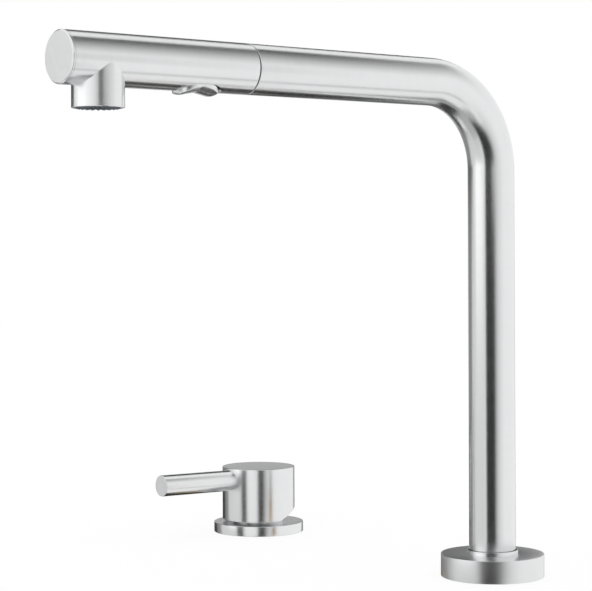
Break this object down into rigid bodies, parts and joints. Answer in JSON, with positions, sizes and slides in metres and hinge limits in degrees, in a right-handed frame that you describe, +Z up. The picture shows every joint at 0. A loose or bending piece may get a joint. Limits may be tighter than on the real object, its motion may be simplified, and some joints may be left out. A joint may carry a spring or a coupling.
{
  "type": "kitchen tap with pull-out spray",
  "caption": "Kitchen tap: swivelling L-shaped tube spout with a pull-out spray handset, and a separate lever mixer on its own rosette.",
  "frame": {"origin": "centre of the spout's foot on the worktop's surface", "axes": "+Z up along the riser, the spout's arm points along -Y at rest, the mixer stands at -X"},
  "size_m": [0.2646, 0.2978, 0.3622],
  "materials": {
    "brushed_steel": "fine brushed grain, satin",
    "plain_steel": "turned or stamped, plain",
    "brass": "machined",
    "white_plastic": "moulded acetal",
    "black_plastic": "moulded, fine texture",
    "black_rubber": "moulded seal rubber",
    "grey_rubber": "soft silicone, slate grey",
    "ceramic": "lapped ceramic, stands in as gloss plastic",
    "hose_braid": "woven nylon braid over a hose"
  },
  "bodies": {
    "base": {"spout_rosette": "brushed_steel", "collar_ring": "brushed_steel", "spout_shank": "brass", "upper_bearing": "white_plastic", "lower_bearing": "white_plastic", "thrust_washer": "white_plastic", "spout_gasket": "black_rubber", "spout_fixing_gasket": "black_rubber", "spout_fixing_washer": "plain_steel", "spout_fixing_nut": "brass", "mixer_rosette": "brushed_steel", "mixer_gasket": "black_rubber", "mixer_body": "brushed_steel", "mixer_fixing_gasket": "black_rubber", "mixer_fixing_washer": "plain_steel", "mixer_fixing_nut": "brass", "base_seals": "black_rubber", "cartridge_base": "white_plastic", "fixed_disc": "ceramic", "cartridge_housing": "white_plastic", "cartridge_nut": "brass"},
    "spout": {"spout_tube": "brushed_steel", "support_ring": "plain_steel", "stop_pin": "plain_steel", "swivel_orings": "black_rubber", "docking_sleeve": "black_plastic", "pull_out_hose": "hose_braid", "hose_guide": "white_plastic", "hose_end_fitting": "plain_steel"},
    "handset": {"handset_shell": "brushed_steel", "front_cap": "brushed_steel", "waterway_core": "black_plastic", "docking_orings": "black_rubber", "hose_nut": "brass", "non_return_valve": "white_plastic", "inlet_filter": "plain_steel", "spray_plate": "black_plastic", "spray_face": "grey_rubber", "aerator_insert": "black_plastic", "toggle_pin": "plain_steel", "spool_spring": "plain_steel"},
    "rocker": {"toggle": "brushed_steel"},
    "spool": {"diverter_spool": "brass", "spool_orings": "black_rubber"},
    "turret_group": {"turret": "white_plastic", "lever_pivot_pin": "plain_steel"},
    "handle": {"handle_cap": "brushed_steel", "lever_rod": "brushed_steel", "control_stem": "plain_steel", "grub_screw": "plain_steel", "screw_cover": "brushed_steel"},
    "disc_group": {"disc_carrier": "white_plastic", "moving_disc": "ceramic"}
  },
  "joints": [
    {"name": "spout_swivel", "type": "hinge", "parent": "base", "child": "spout", "pos_m": [0, 0, 0], "axis": [0, 0, 1], "range_deg": [-70, 70]},
    {"name": "handset_pull", "type": "slide", "parent": "spout", "child": "handset", "axis": [0, -1, 0], "range_m": [0, 0.25], "deforming": ["pull_out_hose"]},
    {"name": "spray_toggle", "type": "hinge", "parent": "handset", "child": "rocker", "pos_m": [0, -0.1945, 0.2595], "axis": [1, 0, 0], "range_deg": [0, 10], "stiffness_Nm_per_rad": 0.1, "springref_deg": -5.73},
    {"name": "spool_slide", "type": "slide", "parent": "handset", "child": "spool", "axis": [0, -1, 0], "range_m": [0, 0.00105], "deforming": ["spool_spring"]},
    {"name": "temperature_turn", "type": "hinge", "parent": "base", "child": "turret_group", "pos_m": [-0.209, 0, 0], "axis": [0, 0, 1], "range_deg": [-50, 50]},
    {"name": "flow_lift", "type": "hinge", "parent": "turret_group", "child": "handle", "pos_m": [-0.209, 0, 0.018], "axis": [-1, 0, 0], "range_deg": [0, 20]},
    {"name": "disc_slide", "type": "slide", "parent": "turret_group", "child": "disc_group", "axis": [0, -1, 0], "range_m": [0, 0.0042]}
  ],
  "couplings": [
    {"joint": "spool_slide", "follows": "spray_toggle", "m_per_rad": 0.006},
    {"joint": "disc_slide", "follows": "flow_lift", "m_per_rad": 0.012}
  ]
}
